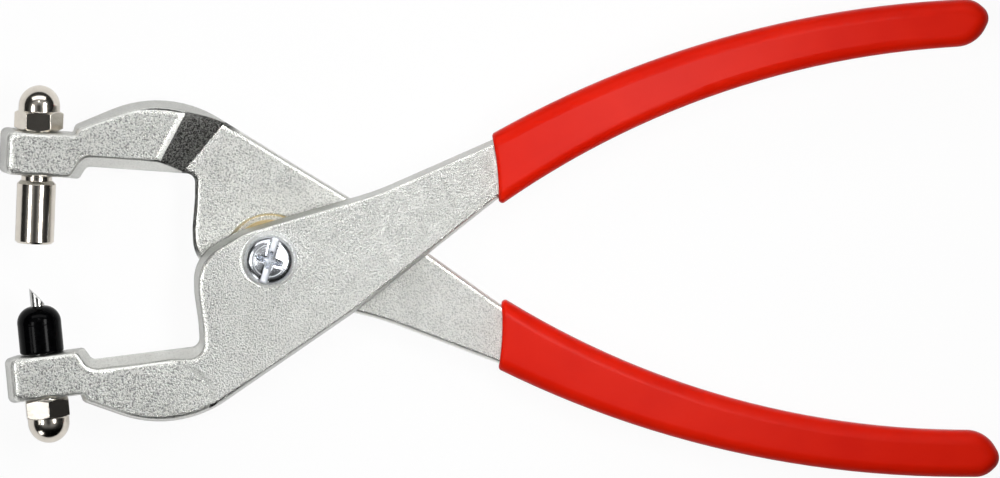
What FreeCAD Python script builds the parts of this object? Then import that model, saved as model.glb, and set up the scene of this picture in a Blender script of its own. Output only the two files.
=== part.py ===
import FreeCAD, Part
import os
from math import asin, atan2, cos, hypot, radians, sin, tan

# Hole punch pliers: two identical lapped lever castings on one pivot screw, with a die in the
# upper jaw and a punch with a rubber stripper sleeve in the lower jaw.
# Millimetres and degrees. The pliers lie on their back. The origin is on the pivot axis, at the
# back end of the pivot screw. +X runs from the pivot to the handles along the line that halves
# them, +Y is the side of the front lever's handle, and +Z points out of the front.
# A lever and all that it carries are drawn as the front lever's, about the lap plane at height
# zero. The rear lever is the same casting turned over about the X line in that plane.

# Handle edges: arcs from the grip's mouth to the end of its bend
grip_start = 54.1
grip_lead = 1.1
mouth_rise = 28.5
mouth_width = 17.4
handle_end_reach = 163.5
handle_end_rise = 57.6
handle_end_width = 11.25
handle_outer_bend = 250.0
handle_inner_bend = 210.0
tang_lead = 5.0

# Grips, a dipped skin over each tang
grip_wall = 1.4
grip_edge_round = 3.2
grip_lip_round = 0.9
grip_mouth_bow = 0.65
grip_corner_round = 3.8
nose_reach = 174.7
nose_round = 3.3
nose_drop = 4.1
nose_outer_setback = 4.3
nose_outer_round = 6.0
nose_inner_setback = 3.9
nose_inner_round = 8.0
tang_end_run = 4.5
tang_end_round = 2.0

# Lever castings: thickness, draft of each side and rounding of the face edges
plate_thickness = 5.5
lap_gap = 0.6
arm_thickness = 10.4
lap_edge_height = 0.8
lap_edge_inset = 0.8
plate_inset = 0.75
boss_inset = 1.3
back_inset = 0.9
belly_inset = 2.0
arm_inset = 2.9
jaw_end_inset = 1.8
inner_seat_inset = 0.7
outer_seat_inset = 0.6
inner_step_inset = 2.4
plate_edge_round = 0.3
arm_edge_round = 1.1

# Jaw block, from the centre of its bore, in line with its own tilt
jaw_reach = 54.9
jaw_drop = 26.8
jaw_tilt = 3.8
jaw_height = 11.0
jaw_nose = 9.1
jaw_slope = 2.6
jaw_corner_round = 1.6
jaw_spot_diameter = 12.4
inner_seat_length = 10.1
inner_step = 2.6
inner_step_run = 1.8
inner_step_round = 1.3
outer_seat_length = 8.2
outer_step_run = 0.5
outer_step_rise = 1.6
outer_step_round = 0.8

# Arm and throat, from the pivot
throat_reach = 17.3
throat_drop = 20.6
throat_round = 2.2
belly_reach = 23.5
belly_drop = 41.85
belly_round = 28.0

# Boss round the pivot and the shank behind it
boss_reach = 18.3
boss_round = 8.0
boss_crown_round = 10.0
boss_shoulder = 6.7
boss_shoulder_round = 16.0
boss_shoulder_share = 0.426
boss_drop_shares = (-0.045, 0.38, 0.72)
boss_neck_share = 0.957
shank_back = 20.0
shank_back_drop_share = 0.68
shank_top = 15.5
shank_top_reach_share = 1.677
shank_round = 60.0
tang_neck_round = 30.0

# Slopes from the plate to the arm: distance and heading from the pivot of each edge
front_step_at = 31.1
front_step_run = 1.9
front_step_heading = -125.7
front_step_turn_at = 13.5
front_step_round = 7.0
ramp_top_at = 29.3
ramp_top_heading = -137.9
ramp_foot_at = 35.5
ramp_foot_heading = -150.3
ramp_bevel_run = 1.3
ramp_bevel_drop = 0.45

# Pivot screw, nut, insert and washer
screw_diameter = 6.0
screw_head_diameter = 12.0
screw_head_height = 3.9
screw_head_rim = 1.3
screw_crown_drop = 0.55
screw_crown_share = 0.62
screw_crown_rise_share = 0.75
screw_chamfer = 0.5
slot_width = 1.7
slot_depth = 1.5
slot_heading = 72.5
cross_width = 1.3
cross_span = 7.4
cross_depth = 2.4
cross_root_share = 0.4
spot_depth = 0.3
spot_diameter = 13.0
washer_diameter = 18.4
washer_thickness = 1.5
washer_recess_margin = 1.3
pivot_nut_height = 6.0
pivot_nut_flats = 10.0
pivot_nut_collar = 8.8
pivot_nut_collar_height = 1.6
pivot_nut_turn = 12.0
insert_wall = 0.9
insert_height = 1.2
running_gap = 0.05
thread_gap = 0.02

# Die and cap nuts, from the seats of the jaw block
stud_diameter = 6.0
stud_end_gap = 0.4
die_diameter = 9.4
die_length = 16.2
die_neck_diameter = 7.4
die_neck_length = 1.1
die_chamfer = 0.5
die_edge_chamfer = 0.25
die_shoulder_round = 0.8
die_bore = 4.4
die_bore_depth = 11.9
cap_nut_flats = 10.2
cap_nut_hex_height = 4.8
cap_nut_height = 10.8
cap_dome_diameter = 10.0
cap_thread_depth = 7.6
die_nut_turn = 0.0
punch_nut_turn = 25.6
nut_chamfer_share = 0.94
nut_chamfer_angle = 30.0

# Punch holder, pin and stripper sleeve, from the inner seat
holder_flange_diameter = 8.4
holder_flange_height = 2.0
holder_diameter = 5.6
holder_height = 8.0
pin_diameter = 3.3
pin_seat_depth = 5.0
pin_rise = 15.7
pin_bevel = 50.0
sleeve_diameter = 10.6
sleeve_rise = 11.3
sleeve_dome = 4.4
sleeve_foot_round = 0.6
sleeve_flange_gap = 0.1
sleeve_pin_gap = 0.1

# How far every cut that passes right through runs past the solid
overrun = 6.0

# Outlines: how much of a side its two roundings may take, the rounding above which a corner
# keeps its centre as the outline draws in, and where the middle of a quarter arc lies
side_fill_share = 0.98
centred_round = 14.0
quarter_middle_share = 0.5 ** 0.5

# Heights from the lap plane, and the lap plane's own height above the screw's end
lap_face = lap_gap / 2
parting = lap_face + lap_edge_height
plate_face = lap_face + plate_thickness
arm_face = arm_thickness / 2
mid_height = pivot_nut_height + running_gap - spot_depth + plate_face
screw_seat = plate_face - spot_depth
half_jaw = jaw_height / 2
bore_radius = screw_diameter / 2 + running_gap


def vec(x, y, z=0.0):
    return FreeCAD.Vector(x, y, z)


def polar(length, heading):
    return length * cos(radians(heading)), length * sin(radians(heading))


def corner_arc(before, corner, after, radius):
    """Start, middle and end of the arc that rounds one corner of an outline."""
    (ax, ay), (bx, by), (cx, cy) = before, corner, after
    in_x, in_y = ax - bx, ay - by
    out_x, out_y = cx - bx, cy - by
    in_len, out_len = hypot(in_x, in_y), hypot(out_x, out_y)
    in_x, in_y, out_x, out_y = in_x / in_len, in_y / in_len, out_x / out_len, out_y / out_len
    half = atan2(abs(in_x * out_y - in_y * out_x), in_x * out_x + in_y * out_y) / 2
    back = radius / tan(half)
    mid_x, mid_y = in_x + out_x, in_y + out_y
    mid_len = hypot(mid_x, mid_y)
    reach = radius / sin(half) - radius
    start = (bx + in_x * back, by + in_y * back)
    middle = (bx + mid_x / mid_len * reach, by + mid_y / mid_len * reach)
    end = (bx + out_x * back, by + out_y * back)
    return start, middle, end


def setback(before, corner, after):
    """How far from a corner its rounding starts, for each unit of its radius."""
    (ax, ay), (bx, by), (cx, cy) = before, corner, after
    in_x, in_y, out_x, out_y = ax - bx, ay - by, cx - bx, cy - by
    return 1 / tan(atan2(abs(in_x * out_y - in_y * out_x), in_x * out_x + in_y * out_y) / 2)


def fitted_corners(corners):
    """The same outline, with the smaller of two roundings cut down where both overfill a side."""
    count = len(corners)
    points = [corner[:2] for corner in corners]
    radii = [corner[2] for corner in corners]
    backs = [setback(points[i - 1], points[i], points[(i + 1) % count]) for i in range(count)]
    for i in range(count):
        j = (i + 1) % count
        side = hypot(points[j][0] - points[i][0], points[j][1] - points[i][1]) * side_fill_share
        if radii[i] * backs[i] + radii[j] * backs[j] > side:
            small, large = (i, j) if radii[i] < radii[j] else (j, i)
            room = max(side - radii[large] * backs[large], side * (1 - side_fill_share))
            radii[small] = min(radii[small], room / backs[small])
            radii[large] = min(radii[large], (side - radii[small] * backs[small]) / backs[large])
    return [(*point, radius) for point, radius in zip(points, radii)]


def outline_wire(corners, z):
    """A closed wire through the corners (x, y, radius), each rounded by its own radius."""
    corners = fitted_corners(corners)
    count = len(corners)
    arcs = []
    for i in range(count):
        before, corner, after = corners[i - 1], corners[i], corners[(i + 1) % count]
        arcs.append(corner_arc(before[:2], corner[:2], after[:2], corner[2]))
    edges = []
    for i in range(count):
        start, middle, end = arcs[i]
        edges.append(Part.Arc(vec(*start, z), vec(*middle, z), vec(*end, z)).toShape())
        onward = arcs[(i + 1) % count][0]
        edges.append(Part.LineSegment(vec(*end, z), vec(*onward, z)).toShape())
    return Part.Wire(edges)


def inset_corners(corners, insets):
    """The same outline with the side that follows each corner moved inwards at its two ends."""
    count = len(corners)
    lines = []
    for i in range(count):
        (ax, ay, _), (bx, by, _) = corners[i], corners[(i + 1) % count]
        length = hypot(bx - ax, by - ay)
        dir_x, dir_y = (bx - ax) / length, (by - ay) / length
        first, last = insets[i]
        ax, ay = ax - dir_y * first, ay + dir_x * first
        bx, by = bx - dir_y * last, by + dir_x * last
        length = hypot(bx - ax, by - ay)
        lines.append((ax, ay, (bx - ax) / length, (by - ay) / length))
    moved = []
    for i in range(count):
        px, py, pdx, pdy = lines[i - 1]
        qx, qy, qdx, qdy = lines[i]
        turn = pdx * qdy - pdy * qdx
        along = ((qx - px) * qdy - (qy - py) * qdx) / turn
        depth = (insets[i - 1][1] + insets[i][0]) / 2
        radius = corners[i][2]
        if turn < 0:
            radius = radius + depth
        elif radius > centred_round:
            radius = radius - depth
        moved.append((px + pdx * along, py + pdy * along, radius))
    return moved


def extruded(wire, height):
    return Part.Face(wire).extrude(vec(0, 0, height))


def flat_edges(solid, z):
    """The edges of a solid that lie in one level plane."""
    flat = []
    for edge in solid.Edges:
        box = edge.BoundBox
        if abs(box.ZMin - z) < 1e-6 and abs(box.ZMax - z) < 1e-6:
            flat.append(edge)
    return flat


def edges_on(solid, tool):
    """The edges of a solid that lie all along the surface of the tool that cut it."""
    found = []
    for edge in solid.Edges:
        first, last = edge.ParameterRange
        points = [edge.valueAt(first + (last - first) * share) for share in (0, 0.5, 1)]
        if all(tool.distToShape(Part.Vertex(point))[0] < 1e-4 for point in points):
            found.append(edge)
    return found


def side_wire(distance, heading, z, span, depth):
    """A quadrangle with one side square to a heading, and its depth from there to the pivot."""
    foot_x, foot_y = polar(distance, heading)
    side_x, side_y = polar(span, heading + 90)
    back_x, back_y = polar(-depth, heading)
    points = [
        vec(foot_x - side_x, foot_y - side_y, z),
        vec(foot_x + side_x, foot_y + side_y, z),
        vec(foot_x + side_x + back_x, foot_y + side_y + back_y, z),
        vec(foot_x - side_x + back_x, foot_y - side_y + back_y, z),
    ]
    return Part.makePolygon(points + points[:1])


def pivot_side(distance, heading, low, high):
    """All on the pivot's side of the line square to a heading, between two heights."""
    wide = 2 * nose_reach
    return extruded(side_wire(distance, heading, low, wide, wide), high - low)


def block_point(along, across):
    """A point of the jaw block, from the centre of its bore."""
    ax, ay = polar(along, jaw_tilt)
    cx, cy = polar(across, jaw_tilt + 90)
    return -jaw_reach + ax + cx, -jaw_drop + ay + cy


def bend_circle(start, end, bend):
    """The circle of a handle's edge, bowed away from the other handle, from two points of it."""
    (ax, ay), (bx, by) = start, end
    half = hypot(bx - ax, by - ay) / 2
    depth = (bend * bend - half * half) ** 0.5
    across_x, across_y = (by - ay) / (2 * half), (ax - bx) / (2 * half)
    return (ax + bx) / 2 + across_x * depth, (ay + by) / 2 + across_y * depth, bend


def outer_circle(inwards=0.0):
    """The circle of a handle's outer edge, or of a line inside it."""
    start, end = (grip_start, mouth_rise), (handle_end_reach, handle_end_rise)
    x, y, bend = bend_circle(start, end, handle_outer_bend)
    return x, y, bend - inwards


def inner_circle(inwards=0.0):
    """The circle of a handle's inner edge, or of a line inside it."""
    start = (grip_start + grip_lead, mouth_rise - mouth_width)
    end = (handle_end_reach, handle_end_rise - handle_end_width)
    x, y, bend = bend_circle(start, end, handle_inner_bend)
    return x, y, bend + inwards


def handle_edge(circle, start, end):
    """An edge of a handle: its line at the start, the corner of its bend, its line at the end."""
    x, y, bend = circle
    start_slope, end_slope = asin((x - start) / bend), asin((x - end) / bend)
    tangent = bend * tan((start_slope - end_slope) / 2)
    start_y, end_y = y + bend * cos(start_slope), y + bend * cos(end_slope)
    corner = (end - tangent * cos(end_slope), end_y - tangent * sin(end_slope), bend)
    return (start, start_y, tan(start_slope)), corner, (end, end_y, tan(end_slope))


def on_line(line, x):
    line_x, line_y, slope = line
    return x, line_y + (x - line_x) * slope


def tang_corners():
    """The tang's outline inside the grip: the grip's edges drawn in by its wall."""
    start, end = grip_start + tang_lead, handle_end_reach - tang_end_run
    outer = handle_edge(outer_circle(grip_wall), start, end)
    inner = handle_edge(inner_circle(grip_wall), start + grip_lead, end)
    tip = handle_end_reach
    return {
        "inner_start": on_line(inner[0], grip_start + grip_lead),
        "inner_bend": inner[1],
        "inner_tip": (*on_line(inner[2], tip), tang_end_round),
        "outer_tip": (*on_line(outer[2], tip), tang_end_round),
        "outer_bend": outer[1],
        "outer_start": on_line(outer[0], grip_start),
    }


def lever_outline():
    """The lever's outline at its parting line, and how far each side draws in."""
    tang = tang_corners()
    neck_reach = boss_reach * boss_neck_share
    shoulder_x = -boss_reach * boss_shoulder_share
    high, middle, low = [-throat_drop * share for share in boss_drop_shares]
    slope = tan(radians(jaw_slope))
    step_foot = block_point(outer_seat_length + outer_step_run, -half_jaw - outer_step_rise)
    arm_foot = block_point(inner_seat_length + inner_step_run, half_jaw - inner_step)
    seat_in, seat_out = (inner_seat_inset, 0), (outer_seat_inset, 0)
    nose, step, arm = [(inset, inset) for inset in (jaw_end_inset, inner_step_inset, arm_inset)]
    boss, plate, back = [(inset, inset) for inset in (boss_inset, plate_inset, back_inset)]
    rows = [
        (*block_point(-jaw_nose, half_jaw - jaw_nose * slope), jaw_corner_round, nose, nose),
        (*block_point(-jaw_nose, -half_jaw - jaw_nose * slope), jaw_corner_round, seat_out, seat_out),
        (
            *block_point(outer_seat_length, -half_jaw + outer_seat_length * slope),
            outer_step_round,
            back,
            back,
        ),
        (*step_foot, jaw_corner_round, back, (back_inset, belly_inset)),
        (-belly_reach, -belly_drop, belly_round, back, (belly_inset, back_inset)),
        (shank_back, -shank_back * shank_back_drop_share, shank_round, back, back),
        (*tang["inner_start"], shank_round, back, back),
        (*tang["inner_bend"], back, back),
        (*tang["inner_tip"], back, back),
        (*tang["outer_tip"], plate, plate),
        (*tang["outer_bend"], plate, plate),
        (*tang["outer_start"], tang_neck_round, plate, plate),
        (shank_top * shank_top_reach_share, shank_top, shank_round, plate, plate),
        (shoulder_x, boss_shoulder, boss_shoulder_round, boss, boss),
        (-boss_reach, high, boss_crown_round, boss, boss),
        (-boss_reach, middle, boss_round, boss, boss),
        (-neck_reach, low, boss_round, boss, boss),
        (-throat_reach, -throat_drop, throat_round, arm, arm),
        (*arm_foot, jaw_corner_round, step, step),
        (
            *block_point(inner_seat_length, half_jaw + inner_seat_length * slope),
            inner_step_round,
            seat_in,
            seat_in,
        ),
    ]
    return [row[:3] for row in rows], [row[3] for row in rows], [row[4] for row in rows]


def drafted(front, insets_share, low, high, rounding):
    """The lever's outline drawn in from one height to another, with that far edge rounded."""
    corners, front_insets, back_insets = lever_outline()
    insets = front_insets if front else back_insets
    insets = [(first * insets_share, last * insets_share) for first, last in insets]
    drawn = inset_corners(corners, insets)
    solid = Part.makeLoft([outline_wire(corners, low), outline_wire(drawn, high)], True, True)
    return solid.makeFillet(rounding, flat_edges(solid, high))


def jaw_side_wire(z, run):
    """All on the jaw's side of the front step: a slanted line that turns down to the belly."""
    at, turn_at = front_step_at + run, front_step_turn_at + run
    heading = radians(front_step_heading)
    bend_y = (at + turn_at * cos(heading)) / sin(heading)
    corners = [
        (-turn_at, -belly_drop, jaw_corner_round),
        (-turn_at, bend_y, front_step_round - run),
        (at / cos(heading), 0, jaw_corner_round),
        (-nose_reach, 0, jaw_corner_round),
        (-nose_reach, -belly_drop, jaw_corner_round),
    ]
    return outline_wire(corners, z)


def front_half():
    """The casting in front of its parting line: the plate, and the arm a step lower."""
    arm_share = (arm_face - parting) / (plate_face - parting)
    low, above_face = parting - overrun, 2 * plate_face - arm_face
    jaw_side = extruded(jaw_side_wire(low, front_step_run), plate_face + overrun - low)
    above_slope = Part.makeLoft(
        [
            jaw_side_wire(low, front_step_run),
            jaw_side_wire(arm_face, front_step_run),
            jaw_side_wire(above_face, -front_step_run),
        ],
        True,
        True,
    )
    arm = drafted(True, arm_share, parting, arm_face, arm_edge_round).common(jaw_side)
    return arm.fuse(drafted(True, 1, parting, plate_face, plate_edge_round).cut(above_slope))


def lap_plate():
    """The casting between its parting line and its lap face."""
    corners, _, _ = lever_outline()
    drawn = inset_corners(corners, [(lap_edge_inset, lap_edge_inset)] * len(corners))
    wires = [outline_wire(corners, parting), outline_wire(drawn, lap_face)]
    keep = pivot_side(ramp_top_at, ramp_top_heading, lap_face - overrun, parting + overrun)
    return Part.makeLoft(wires, True, True).common(keep)


def far_arm():
    """The arm behind the parting line, with the twisted ramp that leads up to the lap face."""
    plate_side = pivot_side(ramp_top_at, ramp_top_heading, -arm_face - overrun, parting + overrun)
    bevel_at, bevel_face = ramp_foot_at - ramp_bevel_run, ramp_bevel_drop - arm_face
    below_ramp = Part.makeLoft(
        [
            side_wire(ramp_top_at, ramp_top_heading, lap_face, belly_drop, belly_drop),
            side_wire(bevel_at, ramp_foot_heading, bevel_face, belly_drop, belly_drop),
            side_wire(ramp_foot_at, ramp_foot_heading, -arm_face, belly_drop, belly_drop),
        ],
        True,
        True,
    )
    arm = drafted(False, 1, parting, -arm_face, arm_edge_round).cut(plate_side)
    return arm.cut(below_ramp)


def lever():
    """One lever casting with its bores, spot face and washer recess."""
    casting = front_half().fuse([lap_plate(), far_arm()]).removeSplitter()
    bore_length = plate_thickness + 2 * overrun
    bore = Part.makeCylinder(bore_radius, bore_length, vec(0, 0, lap_face - overrun))
    spot = Part.makeCylinder(spot_diameter / 2, overrun, vec(0, 0, screw_seat))
    recess_radius = washer_diameter / 2 + washer_recess_margin
    recess_top = washer_thickness / 2 + running_gap
    recess = Part.makeCylinder(recess_radius, recess_top + overrun, vec(0, 0, -overrun))
    jaw_bore = Part.makeCylinder(
        stud_diameter / 2 + running_gap, jaw_height + 2 * overrun, vec(0, 0, -jaw_height - overrun)
    )
    jaw_spot = Part.makeCylinder(jaw_spot_diameter / 2, overrun)
    casting = casting.cut([bore, spot, recess, on_inner_seat(jaw_bore)])
    return casting.cut([on_inner_seat(jaw_spot), on_outer_seat(jaw_spot)])


def grip_corners():
    """The grip's outline, with its mouth end run on straight past the mouth."""
    start = grip_start - overrun
    outer = handle_edge(outer_circle(), start, handle_end_reach)
    inner = handle_edge(inner_circle(), start + grip_lead, handle_end_reach)
    _, nose_rise = on_line(outer[2], nose_reach)
    return [
        (*on_line(inner[0], start - overrun), grip_corner_round),
        inner[1],
        (*on_line(inner[2], nose_reach - nose_inner_setback), nose_inner_round),
        (nose_reach, nose_rise - nose_drop, nose_round),
        (*on_line(outer[2], nose_reach - nose_outer_setback), nose_outer_round),
        outer[1],
        (*on_line(outer[0], start - overrun), grip_corner_round),
    ]


def grip_mouth_cutter(low, high):
    """What lies on the pivot's side of the grip's bowed mouth."""
    outer, inner = (grip_start, mouth_rise), (grip_start + grip_lead, mouth_rise - mouth_width)
    half = hypot(outer[0] - inner[0], outer[1] - inner[1]) / 2
    lean = atan2(outer[1] - inner[1], outer[0] - inner[0])
    radius = (half * half + grip_mouth_bow * grip_mouth_bow) / (2 * grip_mouth_bow)
    chord = half + overrun
    sag = radius - (radius * radius - chord * chord) ** 0.5
    middle_x = (outer[0] + inner[0]) / 2 + grip_mouth_bow * sin(lean)
    middle_y = (outer[1] + inner[1]) / 2 - grip_mouth_bow * cos(lean)

    def place(along, away):
        x = middle_x + along * cos(lean) - away * sin(lean)
        y = middle_y + along * sin(lean) + away * cos(lean)
        return vec(x, y, low)

    arc = Part.Arc(place(chord, sag), place(0, 0), place(-chord, sag)).toShape()
    far = mouth_width
    back = Part.makePolygon(
        [place(-chord, sag), place(-chord, far), place(chord, far), place(chord, sag)]
    )
    return extruded(Part.Wire([arc, *back.Edges]), high - low)


def grip(tang):
    """A dipped plastic grip, moulded round the tang of its lever."""
    low, high = lap_face - grip_wall, plate_face + grip_wall
    body = extruded(outline_wire(grip_corners(), low), high - low)
    body = body.makeFillet(grip_edge_round, flat_edges(body, low) + flat_edges(body, high))
    mouth = grip_mouth_cutter(low - overrun, high + overrun)
    body = body.cut(mouth)
    body = body.makeFillet(grip_lip_round, edges_on(body, mouth))
    return body.cut(tang)


def turned(*runs):
    """A solid turned about the local Z axis from runs of (radius, height) points."""
    edges = []
    for run in runs:
        points = [vec(radius, 0, height) for radius, height in run]
        if len(points) == 3:
            edges.append(Part.Arc(*points).toShape())
        else:
            edges.append(Part.LineSegment(*points).toShape())
    return Part.Face(Part.Wire(edges)).revolve(vec(0, 0, 0), vec(0, 0, 1), 360)


def turned_line(points):
    """A solid turned about the local Z axis from a closed line of (radius, height) points."""
    return turned(*zip(points, points[1:] + points[:1]))


def hex_bar(flats, height, turn):
    """A hexagonal bar along the local Z axis, chamfered at both ends."""
    corner = flats / 3 ** 0.5
    points = [vec(*polar(corner, turn + 60 * side)) for side in range(6)]
    bar = extruded(Part.makePolygon(points + points[:1]), height)
    face = flats / 2 * nut_chamfer_share
    drop = (corner - face) * tan(radians(nut_chamfer_angle))
    envelope = [(0, 0), (face, 0), (corner, drop), (corner, height - drop), (face, height), (0, height)]
    return bar.common(turned_line(envelope))


def on_inner_seat(shape):
    """Stand a piece drawn up its local Z axis on the middle of the jaw's inner seat."""
    placed = shape.copy()
    placed.rotate(vec(0, 0, 0), vec(1, 0, 0), -90)
    placed.rotate(vec(0, 0, 0), vec(0, 0, 1), jaw_tilt)
    placed.translate(vec(*block_point(0, half_jaw)))
    return placed


def on_outer_seat(shape):
    """Stand a piece drawn up its local Z axis on the middle of the jaw's outer seat."""
    placed = shape.copy()
    placed.rotate(vec(0, 0, 0), vec(1, 0, 0), 90)
    placed.rotate(vec(0, 0, 0), vec(0, 0, 1), jaw_tilt)
    placed.translate(vec(*block_point(0, -half_jaw)))
    return placed


def stud():
    """The threaded stud behind a jaw tool, through the block and into its cap nut."""
    length = jaw_height + cap_thread_depth - stud_end_gap
    return Part.makeCylinder(stud_diameter / 2, length, vec(0, 0, -length))


def die():
    """The die: a tube with its cutting edge at the far end, on a short neck and a stud."""
    neck, outer, bore = die_neck_diameter / 2, die_diameter / 2, die_bore / 2
    tube = turned_line(
        [
            (0, 0),
            (neck, 0),
            (neck, die_neck_length),
            (outer - die_shoulder_round, die_neck_length),
            (outer, die_neck_length + die_shoulder_round),
            (outer, die_length - die_chamfer),
            (outer - die_chamfer, die_length),
            (bore + die_edge_chamfer, die_length),
            (bore, die_length - die_edge_chamfer),
            (bore, die_length - die_bore_depth),
            (0, die_length - die_bore_depth),
        ]
    )
    return on_inner_seat(tube.fuse(stud()).removeSplitter())


def cap_nut(turn):
    """A domed cap nut on the outer seat, with its blind bore round the stud."""
    dome = cap_dome_diameter / 2
    body = hex_bar(cap_nut_flats, cap_nut_hex_height, turn)
    body = body.fuse(Part.makeCylinder(dome, cap_nut_height - dome))
    body = body.fuse(Part.makeSphere(dome, vec(0, 0, cap_nut_height - dome)).common(
        Part.makeCylinder(dome, dome, vec(0, 0, cap_nut_height - dome))
    ))
    bore = Part.makeCylinder(stud_diameter / 2 + thread_gap, cap_thread_depth)
    return on_outer_seat(body.removeSplitter().cut(bore))


def punch_holder():
    """The holder of the punch: a flange on the seat, a spigot with the pin's socket, a stud."""
    flange, spigot = holder_flange_diameter / 2, holder_diameter / 2
    body = turned_line(
        [
            (0, 0),
            (flange, 0),
            (flange, holder_flange_height),
            (spigot, holder_flange_height),
            (spigot, holder_height),
            (pin_diameter / 2, holder_height),
            (pin_diameter / 2, holder_height - pin_seat_depth),
            (0, holder_height - pin_seat_depth),
        ]
    )
    return on_inner_seat(body.fuse(stud()).removeSplitter())


def punch_pin():
    """The punch itself: a round pin ground to a slant, highest on the side of the jaw's nose."""
    radius = pin_diameter / 2
    length = pin_rise - holder_height + pin_seat_depth
    pin = Part.makeCylinder(radius, length, vec(0, 0, pin_rise - length))
    drop = pin_diameter * tan(radians(pin_bevel))
    slant = Part.makePolygon(
        [
            vec(-radius, -pin_diameter, pin_rise),
            vec(radius, -pin_diameter, pin_rise - drop),
            vec(radius, -pin_diameter, pin_rise),
            vec(-radius, -pin_diameter, pin_rise),
        ]
    )
    return on_inner_seat(pin.cut(Part.Face(slant).extrude(vec(0, 2 * pin_diameter, 0))))


def stripper_sleeve():
    """The rubber sleeve that pushes the work off the pin: a bullet over the holder's spigot."""
    outer, foot = sleeve_diameter / 2, sleeve_foot_round
    spigot = holder_diameter / 2 + running_gap
    flange = holder_flange_diameter / 2 + sleeve_flange_gap
    flange_top = holder_flange_height + running_gap
    mouth = pin_diameter / 2 + sleeve_pin_gap
    shoulder = sleeve_rise - sleeve_dome
    bulge = quarter_middle_share
    return on_inner_seat(
        turned(
            [(flange, 0), (outer - foot, 0)],
            [
                (outer - foot, 0),
                (outer - foot + foot * bulge, foot - foot * bulge),
                (outer, foot),
            ],
            [(outer, foot), (outer, shoulder)],
            [
                (outer, shoulder),
                (mouth + (outer - mouth) * bulge, shoulder + sleeve_dome * bulge),
                (mouth, sleeve_rise),
            ],
            [(mouth, sleeve_rise), (mouth, holder_height)],
            [(mouth, holder_height), (spigot, holder_height)],
            [(spigot, holder_height), (spigot, flange_top)],
            [(spigot, flange_top), (flange, flange_top)],
            [(flange, flange_top), (flange, 0)],
        )
    )


def screw_recess(top):
    """The straight slot and the tapered cross in the screw's head."""
    slot = Part.makeBox(
        screw_head_diameter,
        slot_width,
        slot_depth,
        vec(-screw_head_diameter / 2, -slot_width / 2, top - slot_depth),
    )
    cutters = [slot]
    for length, width in ((cross_span, cross_width), (cross_width, cross_span)):
        wires = []
        for share, height in ((1, top), (cross_root_share, top - cross_depth)):
            half_length, half_width = length * share / 2, width * share / 2
            corners = [
                vec(-half_length, -half_width, height),
                vec(half_length, -half_width, height),
                vec(half_length, half_width, height),
                vec(-half_length, half_width, height),
            ]
            wires.append(Part.makePolygon(corners + corners[:1]))
        cutters.append(Part.makeLoft(wires, True, True))
    for cutter in cutters:
        cutter.rotate(vec(0, 0, 0), vec(0, 0, 1), slot_heading)
    return cutters


def pivot_screw():
    """A pan-headed screw through both plates, flush with the back of its nut."""
    radius, end = screw_diameter / 2, -mid_height
    rim, crown = screw_head_diameter / 2, screw_head_diameter / 2 * screw_crown_share
    top = screw_seat + screw_head_height
    shoulder = top - screw_crown_drop
    rim_top = screw_seat + screw_head_rim
    bulge = quarter_middle_share
    body = turned(
        [(0, end), (radius - screw_chamfer, end)],
        [(radius - screw_chamfer, end), (radius, end + screw_chamfer)],
        [(radius, end + screw_chamfer), (radius, screw_seat)],
        [(radius, screw_seat), (rim, screw_seat)],
        [(rim, screw_seat), (rim, rim_top)],
        [
            (rim, rim_top),
            (crown + (rim - crown) * bulge, rim_top + (shoulder - rim_top) * bulge),
            (crown, shoulder),
        ],
        [
            (crown, shoulder),
            (crown / 2, shoulder + screw_crown_drop * screw_crown_rise_share),
            (0, top),
        ],
        [(0, top), (0, end)],
    )
    return body.cut(screw_recess(top))


def pivot_washer():
    radius = washer_diameter / 2
    ring = Part.makeCylinder(radius, washer_thickness, vec(0, 0, -washer_thickness / 2))
    bore = Part.makeCylinder(bore_radius, washer_thickness, vec(0, 0, -washer_thickness / 2))
    return ring.cut(bore)


def pivot_nut():
    """The locking nut on the back of the pivot screw, with a round collar for its insert."""
    collar = pivot_nut_collar / 2
    hexagon = hex_bar(pivot_nut_flats, pivot_nut_height - pivot_nut_collar_height, pivot_nut_turn)
    hexagon.translate(vec(0, 0, pivot_nut_collar_height))
    ring = Part.makeCylinder(collar, pivot_nut_collar_height)
    ring = ring.makeChamfer(screw_chamfer, flat_edges(ring, 0))
    bore = Part.makeCylinder(screw_diameter / 2 + thread_gap, pivot_nut_height)
    pocket = Part.makeCylinder(screw_diameter / 2 + insert_wall, insert_height)
    nut = hexagon.fuse(ring).cut([bore, pocket])
    nut.translate(vec(0, 0, -mid_height))
    return nut


def pivot_nut_insert():
    ring = Part.makeCylinder(screw_diameter / 2 + insert_wall, insert_height)
    ring = ring.cut(Part.makeCylinder(screw_diameter / 2 + thread_gap, insert_height))
    ring.translate(vec(0, 0, -mid_height))
    return ring


def turned_over(shape):
    """A front lever's piece turned over about the X line in the lap plane."""
    back = shape.copy()
    back.rotate(vec(0, 0, 0), vec(1, 0, 0), 180)
    return back


def pieces():
    """Every piece about the lap plane, by name."""
    casting = lever()
    skin = grip(casting)
    return {
        "front_lever": casting,
        "front_grip": skin,
        "punch_holder": punch_holder(),
        "punch_pin": punch_pin(),
        "stripper_sleeve": stripper_sleeve(),
        "punch_cap_nut": cap_nut(punch_nut_turn),
        "pivot_screw": pivot_screw(),
        "pivot_washer": pivot_washer(),
        "pivot_nut": pivot_nut(),
        "pivot_nut_insert": pivot_nut_insert(),
        "rear_lever": turned_over(casting),
        "rear_grip": turned_over(skin),
        "die": turned_over(die()),
        "die_cap_nut": turned_over(cap_nut(die_nut_turn)),
    }


os.makedirs("parts", exist_ok=True)
for name, shape in pieces().items():
    shape.translate(vec(0, 0, mid_height))
    shape.exportStep("parts/" + name + ".step")
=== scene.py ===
from math import cos, pi, radians, sin

import bpy
from mathutils import Matrix, Vector

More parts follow.
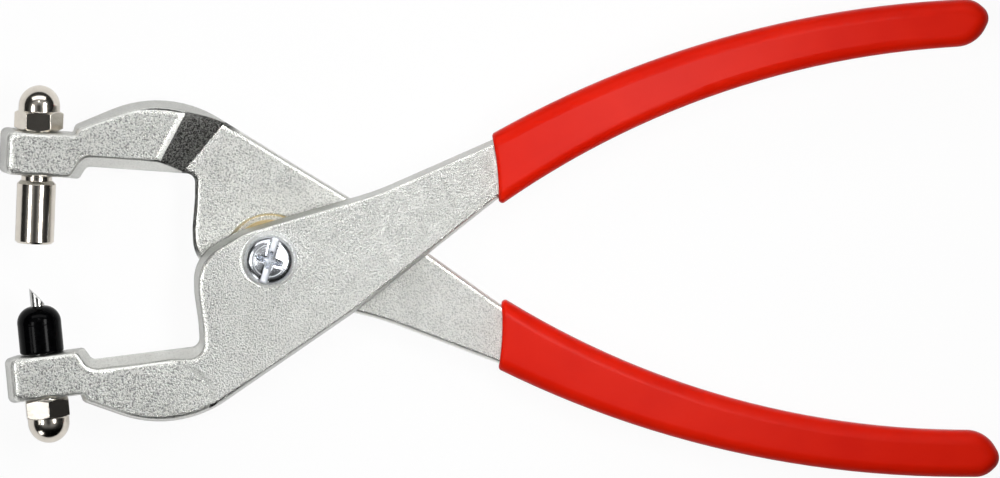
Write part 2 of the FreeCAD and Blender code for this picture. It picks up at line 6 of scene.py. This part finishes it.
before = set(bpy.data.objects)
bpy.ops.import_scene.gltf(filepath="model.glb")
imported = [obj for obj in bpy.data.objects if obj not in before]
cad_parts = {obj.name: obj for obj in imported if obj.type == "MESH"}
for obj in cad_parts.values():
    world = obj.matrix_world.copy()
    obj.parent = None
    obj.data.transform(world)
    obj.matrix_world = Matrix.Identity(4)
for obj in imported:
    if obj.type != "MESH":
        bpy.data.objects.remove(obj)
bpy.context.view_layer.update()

# Camera: straight down on the pliers, tipped towards the front lever's handle and rolled a little
VIEW_TILT = radians(4.75)
VIEW_ROLL = radians(1.6)
VIEW_TARGET = Vector((0.0554, 0.0030, 0.01155))
VIEW_DISTANCE = 4.5
VIEW_WIDTH = 0.240
SENSOR_WIDTH = 36.0

# Floor: half its width, its gap below the pliers, and how much of it shows as plain white
FLOOR_HALF = 10.0
FLOOR_GAP = 0.0002
FLOOR_SHARE_SEEN = 0.94
FLOOR_SHARE_MIRRORED = 0.45

# Soft boxes round the jaws: lean from the vertical, heading round it, distance, width, length
# and radiance
LIGHT_TARGET = Vector((-0.0554, 0.0, 0.01155))
BOXES = {
    "left_box": (radians(34), radians(180), 1.6, 0.34, 0.60, 7.5),
    "right_box": (radians(34), radians(14), 0.275, 0.060, 0.17, 14.0),
    "nut_box": (radians(52), radians(190), 1.2, 0.22, 0.10, 3.0),
    "step_box": (radians(75), radians(234), 1.2, 0.45, 0.40, 2.2),
    "high_back_box": (radians(31), radians(90), 1.2, 0.10, 0.10, 9.0),
    "low_back_box": (radians(54), radians(90), 1.2, 1.60, 0.40, 2.2),
}

# Sky: grey by the height of the direction on a unit sphere, and by how far it leans to the back
SKY_STOPS = [
    (0.0, 0.02),
    (0.50, 0.03),
    (0.70, 0.10),
    (0.82, 0.35),
    (0.94, 0.40),
    (0.985, 0.12),
    (1.0, 0.03),
]
SKY_LEAN_STOPS = [(0.20, 0.02), (0.46, 0.80), (0.75, 1.0)]

# Casting, grain: cycles a metre of three noises, and depths of two in metres
GRAIN_SCALE = 2600.0
FINE_SCALE = 2.2 * GRAIN_SCALE
TONE_SCALE = 160.0
GRAIN_DEPTH = 0.00044
FINE_DEPTH = 0.00006

# Casting, worn edges: radii in metres on most edges, at the step and at the jaw's nose, the nose's
# two places along X, and the step's place and how far from it its radius holds and ends
WORN_EDGE = 0.0009
STEP_EDGE = 0.0018
NOSE_EDGE = 0.0030
NOSE_SPAN = (-0.0596, -0.0580)
STEP_X = -0.018
STEP_SPAN = (0.008, 0.014)

# Casting, ramp with painted shade, where the grain keeps its full strength: how far from the step it
# ends, the fade at its side, and its slopes, as the upward part of the surface's direction
RAMP_SPAN = (0.009, 0.012)
RAMP_FADE = 0.002
RAMP_SLOPES = [(0.60, 0.0), (0.66, 1.0), (0.88, 1.0), (0.93, 0.0)]

# Casting, where the grain is weak: on edges, by how the surface's direction agrees with the face's,
# and on steeper faces, each with the share that is left
TURN_SPAN = (0.965, 0.998)
RUBBED_SHARE = 0.12
LEVEL_SPAN = (0.92, 0.99)
STEEP_SHARE = 0.25

# Casting, milled spot face round the screw: its radius, the width of its border, and the painted light that
# lifts its colour
SPOT_FACE = 0.0066
SPOT_FADE = 0.0003
SPOT_PAINTED_LIGHT = 1.10

# Casting, roughness of worn edges, faces and spot face
EDGE_ROUGHNESS = 0.17
CAST_ROUGHNESS = 0.32
SPOT_ROUGHNESS = 0.50

# Casting, colour: its tones, dark pores by the grain, how deep they are from the jaws to the tangs
# (shallower towards the tangs, which paints light on them), the ramp's painted shade with lighter
# specks, and painted shade on the steeper sides
ZINC_STOPS = [(0.3, (0.87, 0.875, 0.835)), (0.7, (0.96, 0.965, 0.925))]
PORE_STOPS = [(0.36, 0.28), (0.48, 0.84), (0.57, 1.0)]
PORE_SPAN = (-0.040, 0.030)
JAW_PORES = 1.0
TANG_PORES_AND_PAINTED_LIGHT = 0.45
RAMP_SHADE_SPECK_STOPS = [(0.43, 0.03), (0.62, 0.34)]
SIDE_SPAN = (0.30, 0.55)
SIDE_SHADE = 0.60

# Screw: the slot's floor, by the upward part of its direction, and its roughness
SLOT_SPAN = (0.9985, 0.9995)
SLOT_ROUGHNESS = 0.55


def add_node(tree_owner, kind, **values):
    """A node in a material or world, with its properties and sockets set by name."""
    node = tree_owner.node_tree.nodes.new(kind)
    for key, value in values.items():
        if hasattr(node, key):
            setattr(node, key, value)
        else:
            node.inputs[key.replace("_", " ").title()].default_value = value
    return node


def link(tree_owner, from_socket, to_socket):
    tree_owner.node_tree.links.new(from_socket, to_socket)


def feed(tree_owner, value, socket):
    """Gives a socket a number or links another socket to it."""
    if isinstance(value, (int, float)):
        socket.default_value = value
    else:
        link(tree_owner, value, socket)


def new_material(name, colour, metallic=0.0, roughness=0.5):
    """A material with its shader, whose even values are set on the shader's own sockets."""
    material = bpy.data.materials.new(name)
    material.use_nodes = True
    shader = material.node_tree.nodes["Principled BSDF"]
    shader.inputs["Base Color"].default_value = (*colour, 1.0)
    shader.inputs["Metallic"].default_value = metallic
    shader.inputs["Roughness"].default_value = roughness
    return material, shader


def noise(material, scale, detail=2.0, roughness=0.5):
    """Noise in the object's own space, in cycles a metre."""
    coordinates = add_node(material, "ShaderNodeTexCoord")
    texture = add_node(material, "ShaderNodeTexNoise", Scale=scale, Detail=detail, Roughness=roughness)
    link(material, coordinates.outputs["Object"], texture.inputs["Vector"])
    return texture.outputs["Fac"]


def part_of(tree_owner, kind, output, axis):
    """One axis of a vector that a new node of this kind puts out."""
    split = add_node(tree_owner, "ShaderNodeSeparateXYZ")
    link(tree_owner, add_node(tree_owner, kind).outputs[output], split.inputs[0])
    return split.outputs[axis]


def rise(material):
    """The upward part of the surface's direction: 1 on level faces, 0 on upright walls."""
    return part_of(material, "ShaderNodeNewGeometry", "Normal", "Z")


def reckon(tree_owner, operation, *values):
    """The result of one operation on values that are each a number or a socket."""
    node = add_node(tree_owner, "ShaderNodeMath", operation=operation)
    for value, socket in zip(values, node.inputs):
        feed(tree_owner, value, socket)
    return node.outputs[0]


def product(tree_owner, first, *others):
    """Values multiplied in turn."""
    for other in others:
        first = reckon(tree_owner, "MULTIPLY", first, other)
    return first


def greater(tree_owner, first, second):
    return reckon(tree_owner, "MAXIMUM", first, second)


def inverse(tree_owner, value):
    """What a share leaves of one."""
    return reckon(tree_owner, "SUBTRACT", 1.0, value)


def spread(tree_owner, value, start, end, low=0.0, high=1.0):
    """A value between start and end turned into one between low and high, level beyond them."""
    node = add_node(tree_owner, "ShaderNodeMapRange")
    for name, number in zip(("From Min", "From Max", "To Min", "To Max"), (start, end, low, high)):
        node.inputs[name].default_value = number
    link(tree_owner, value, node.inputs["Value"])
    return node.outputs["Result"]


def ramp(tree_owner, value, stops):
    """A colour ramp over a value, from (position, colour) stops."""
    node = add_node(tree_owner, "ShaderNodeValToRGB")
    elements = node.color_ramp.elements
    while len(elements) < len(stops):
        elements.new(0.5)
    for element, (position, colour) in zip(elements, stops):
        element.position = position
        element.color = (*colour, 1.0)
    link(tree_owner, value, node.inputs["Fac"])
    return node.outputs["Color"]


def grey_ramp(tree_owner, value, stops):
    return ramp(tree_owner, value, [(position, (grey, grey, grey)) for position, grey in stops])


def multiply(tree_owner, colour, shade):
    """A colour multiplied by another."""
    node = add_node(tree_owner, "ShaderNodeMix", data_type="RGBA", blend_type="MULTIPLY")
    node.inputs["Factor"].default_value = 1.0
    link(tree_owner, colour, node.inputs["A"])
    link(tree_owner, shade, node.inputs["B"])
    return node.outputs["Result"]


def mix_shaders(tree_owner, share, first, second, output):
    """A share of the second shader over the first, into the output's surface."""
    node = add_node(tree_owner, "ShaderNodeMixShader")
    for socket, from_socket in zip(node.inputs, (share, first, second)):
        link(tree_owner, from_socket, socket)
    link(tree_owner, node.outputs[0], tree_owner.node_tree.nodes[output].inputs["Surface"])


def soft_edges(material, radius):
    """The surface's direction with its edges worn round, by an even radius or one that varies."""
    node = add_node(material, "ShaderNodeBevel", samples=8)
    feed(material, radius, node.inputs["Radius"])
    return node.outputs["Normal"]


def bump(material, heights, shader, normal=None):
    """Bumps of (height, distance in metres, strength), one on another, into the shader."""
    for height, distance, strength in heights:
        node = add_node(material, "ShaderNodeBump", Distance=distance)
        feed(material, strength, node.inputs["Strength"])
        link(material, height, node.inputs["Height"])
        if normal is not None:
            link(material, normal, node.inputs["Normal"])
        normal = node.outputs["Normal"]
    link(material, normal, shader.inputs["Normal"])


def zinc_casting():
    """Bright zinc over a shot-blasted casting: grain, worn edges, a milled spot face, painted shade on the
    ramp and the steeper sides, painted light on the spot face and towards the tangs.
    """
    material, shader = new_material("zinc_casting", (0.80, 0.81, 0.79), 1.0, CAST_ROUGHNESS)
    grain = noise(material, GRAIN_SCALE, 2.0, 0.65)
    fine = noise(material, FINE_SCALE, 1.0, 0.5)
    tone = noise(material, TONE_SCALE, 3.0, 0.6)
    x = part_of(material, "ShaderNodeTexCoord", "Object", "X")
    y = part_of(material, "ShaderNodeTexCoord", "Object", "Y")
    upward = rise(material)
    flatness = reckon(material, "ABSOLUTE", upward)
    from_step = reckon(material, "ABSOLUTE", reckon(material, "SUBTRACT", x, STEP_X))

    # Worn edges
    nose = spread(material, x, *NOSE_SPAN, NOSE_EDGE, WORN_EDGE)
    step = spread(material, from_step, *STEP_SPAN, STEP_EDGE, WORN_EDGE)
    edges = soft_edges(material, greater(material, nose, step))

    # Share of the ramp's painted shade and full grain
    side = spread(material, product(material, y, upward), 0.0, RAMP_FADE)
    near = spread(material, from_step, *RAMP_SPAN, 1.0, 0.0)
    dull = product(material, side, near, grey_ramp(material, flatness, RAMP_SLOPES))

    # Share of the grain
    turned = add_node(material, "ShaderNodeVectorMath", operation="DOT_PRODUCT")
    link(material, edges, turned.inputs[0])
    link(material, add_node(material, "ShaderNodeNewGeometry").outputs["Normal"], turned.inputs[1])
    sound = spread(material, turned.outputs["Value"], *TURN_SPAN, RUBBED_SHARE, 1.0)
    level = product(material, sound, spread(material, flatness, *LEVEL_SPAN, STEEP_SHARE, 1.0))
    strength = greater(material, level, dull)
    bump(material, [(grain, GRAIN_DEPTH, strength), (fine, FINE_DEPTH, strength)], shader, edges)

    # Share of the spot face, by the square of the distance from the pivot
    square = reckon(material, "ADD", product(material, x, x), product(material, y, y))
    milled = spread(material, square, SPOT_FACE ** 2, (SPOT_FACE + SPOT_FADE) ** 2, 1.0, 0.0)

    # Roughness
    faces = spread(material, sound, RUBBED_SHARE, 1.0, EDGE_ROUGHNESS, CAST_ROUGHNESS)
    spot = spread(material, milled, 0.0, 1.0, EDGE_ROUGHNESS, SPOT_ROUGHNESS)
    link(material, greater(material, faces, spot), shader.inputs["Roughness"])

    # Colour
    # Pores shallower towards the tangs, which paints light on them
    pore_depth_and_painted_light = spread(material, x, *PORE_SPAN, JAW_PORES, TANG_PORES_AND_PAINTED_LIGHT)
    hollows = inverse(material, grey_ramp(material, grain, PORE_STOPS))
    pores = inverse(material, product(material, pore_depth_and_painted_light, hollows, level))
    # Painted shade on the ramp: its colour darkened, apart from lighter specks of grain
    ramp_shade_specks = greater(material, grey_ramp(material, grain, RAMP_SHADE_SPECK_STOPS), inverse(material, dull))
    # Painted light on the spot face: its colour lifted against the shade of its recess
    spot_painted_light = spread(material, milled, 0.0, 1.0, 1.0, SPOT_PAINTED_LIGHT)
    # Painted shade on the steeper sides
    side_painted_shade = spread(material, flatness, *SIDE_SPAN, SIDE_SHADE, 1.0)
    shade = product(material, pores, ramp_shade_specks, spot_painted_light, side_painted_shade)
    link(material, multiply(material, ramp(material, tone, ZINC_STOPS), shade), shader.inputs["Base Color"])
    return material


def red_vinyl():
    """Dipped vinyl: satin, slightly sagged, with a faint orange-peel skin."""
    material, shader = new_material("red_vinyl", (0.65, 0.008, 0.001), 0.0, 0.35)
    shader.inputs["Specular IOR Level"].default_value = 0.07
    peel = noise(material, 700.0)
    sag = noise(material, 60.0)
    bump(material, [(sag, 0.0006, 0.15), (peel, 0.00003, 0.5)], shader)
    colour = ramp(material, sag, [(0.3, (0.62, 0.008, 0.001)), (0.7, (0.68, 0.012, 0.002))])
    link(material, colour, shader.inputs["Base Color"])
    return material


def black_rubber():
    """Smooth moulded rubber."""
    material, shader = new_material("black_rubber", (0.001, 0.001, 0.0012), 0.0, 0.13)
    shader.inputs["Specular IOR Level"].default_value = 0.05
    skin = noise(material, 900.0)
    bump(material, [(skin, 0.00002, 0.2)], shader)
    colour = ramp(material, skin, [(0.3, (0.0005, 0.0005, 0.0007)), (0.7, (0.002, 0.002, 0.0024))])
    link(material, colour, shader.inputs["Base Color"])
    return material


def plated(name, colour, dull, roughness, grain_scale, strength, edge=0.0002):
    """Polished plate with faint waves, a slight change of tone and worn edges."""
    material, shader = new_material(name, colour, 1.0, roughness)
    waves = noise(material, grain_scale)
    bump(material, [(waves, 0.00008, strength)], shader, soft_edges(material, edge))
    link(material, ramp(material, waves, [(0.3, dull), (0.7, colour)]), shader.inputs["Base Color"])
    return material


def scraped_slot(material):
    """Makes the level floor of the screw's slot dull, where the driver has scraped it."""
    roughness = material.node_tree.nodes["Principled BSDF"].inputs["Roughness"]
    worn = spread(material, rise(material), *SLOT_SPAN, roughness.default_value, SLOT_ROUGHNESS)
    link(material, worn, roughness)


def nylon():
    """Natural nylon, a little uneven in tone."""
    material, shader = new_material("nylon", (0.85, 0.86, 0.88), 0.0, 0.45)
    stops = [(0.3, (0.80, 0.81, 0.84)), (0.7, (0.88, 0.89, 0.90))]
    link(material, ramp(material, noise(material, 400.0), stops), shader.inputs["Base Color"])
    return material


def dress(node, material):
    """Gives a CAD node its material."""
    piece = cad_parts[node]
    piece.data.materials.clear()
    piece.data.materials.append(material)


def floor():
    """A plain pale floor that shows white to the camera and in reflections, and keeps shadows."""
    mesh = bpy.data.meshes.new("floor")
    signs = ((-1, -1), (1, -1), (1, 1), (-1, 1))
    corners = [(right * FLOOR_HALF, back * FLOOR_HALF, -FLOOR_GAP) for right, back in signs]
    mesh.from_pydata(corners, [], [(0, 1, 2, 3)])
    piece = bpy.data.objects.new("floor", mesh)
    bpy.context.scene.collection.objects.link(piece)
    material, shader = new_material("floor", (0.9, 0.9, 0.9), 0.0, 0.9)
    shader.inputs["Specular IOR Level"].default_value = 0.0
    path = add_node(material, "ShaderNodeLightPath")
    seen = product(material, path.outputs["Is Camera Ray"], FLOOR_SHARE_SEEN)
    mirrored = product(material, path.outputs["Is Glossy Ray"], FLOOR_SHARE_MIRRORED)
    white = add_node(material, "ShaderNodeEmission", Color=(1.0, 1.0, 1.0, 1.0), Strength=1.0)
    share = greater(material, seen, mirrored)
    mix_shaders(material, share, shader.outputs[0], white.outputs[0], "Material Output")
    mesh.materials.append(material)


def sky():
    """A dim ring of light round a dark zenith, darker in front, that shows white to the camera."""
    world = bpy.data.worlds.new("studio")
    bpy.context.scene.world = world
    world.use_nodes = True
    height = part_of(world, "ShaderNodeTexCoord", "Generated", "Z")
    lean = part_of(world, "ShaderNodeTexCoord", "Generated", "Y")
    lean = reckon(world, "MULTIPLY_ADD", lean, 0.5, 0.5)
    shade = multiply(world, grey_ramp(world, height, SKY_STOPS), grey_ramp(world, lean, SKY_LEAN_STOPS))
    lit = world.node_tree.nodes["Background"]
    link(world, shade, lit.inputs["Color"])
    white = add_node(world, "ShaderNodeBackground")
    seen = add_node(world, "ShaderNodeLightPath").outputs["Is Camera Ray"]
    mix_shaders(world, seen, lit.outputs[0], white.outputs[0], "World Output")


def soft_box(name, lean, heading, distance, width, length, radiance):
    """A rectangular lamp that faces the jaws, its length as near to the frame's Y as it can be."""
    data = bpy.data.lights.new(name, "AREA")
    data.shape = "RECTANGLE"
    data.size = width
    data.size_y = length
    data.energy = radiance * width * length * pi
    piece = bpy.data.objects.new(name, data)
    away = Vector((sin(lean) * cos(heading), sin(lean) * sin(heading), cos(lean)))
    across = Vector((0, 1, 0)).cross(away).normalized()
    turn = Matrix((across, away.cross(across), away)).transposed().to_4x4()
    piece.matrix_world = Matrix.Translation(LIGHT_TARGET + away * distance) @ turn
    piece.visible_camera = False
    bpy.context.scene.collection.objects.link(piece)


def camera():
    """The camera at the photograph's viewing angle."""
    data = bpy.data.cameras.new("camera")
    data.sensor_width = SENSOR_WIDTH
    data.lens = SENSOR_WIDTH * VIEW_DISTANCE / VIEW_WIDTH
    data.clip_end = 10 * VIEW_DISTANCE
    piece = bpy.data.objects.new("camera", data)
    back = Vector((0, sin(VIEW_TILT), cos(VIEW_TILT)))
    right = Vector((cos(VIEW_ROLL), -sin(VIEW_ROLL), 0))
    up = back.cross(right).normalized()
    turn = Matrix((up.cross(back), up, back)).transposed().to_4x4()
    piece.matrix_world = Matrix.Translation(VIEW_TARGET + back * VIEW_DISTANCE) @ turn
    bpy.context.scene.collection.objects.link(piece)
    bpy.context.scene.camera = piece


camera()
floor()
sky()
for name, box in BOXES.items():
    soft_box(name, *box)
casting = zinc_casting()
vinyl = red_vinyl()
nickel = plated("nickel", (0.76, 0.71, 0.63), (0.70, 0.65, 0.58), 0.15, 500.0, 0.12)
screw_zinc = plated("screw_zinc", (0.84, 0.86, 0.90), (0.76, 0.79, 0.84), 0.22, 900.0, 0.35, 0.0010)
scraped_slot(screw_zinc)
tool_steel = plated("tool_steel", (0.60, 0.60, 0.59), (0.52, 0.52, 0.51), 0.22, 1500.0, 0.4)
yellow = plated("yellow_washer", (0.90, 0.74, 0.42), (0.84, 0.66, 0.36), 0.30, 900.0, 0.4)
for name, material in {
    "front_lever": casting,
    "rear_lever": casting,
    "front_grip": vinyl,
    "rear_grip": vinyl,
    "die": nickel,
    "die_cap_nut": nickel,
    "punch_cap_nut": nickel,
    "punch_holder": tool_steel,
    "punch_pin": tool_steel,
    "stripper_sleeve": black_rubber(),
    "pivot_screw": screw_zinc,
    "pivot_nut": screw_zinc,
    "pivot_nut_insert": nylon(),
    "pivot_washer": yellow,
}.items():
    dress(name, material)

bpy.context.scene.view_settings.view_transform = "Standard"
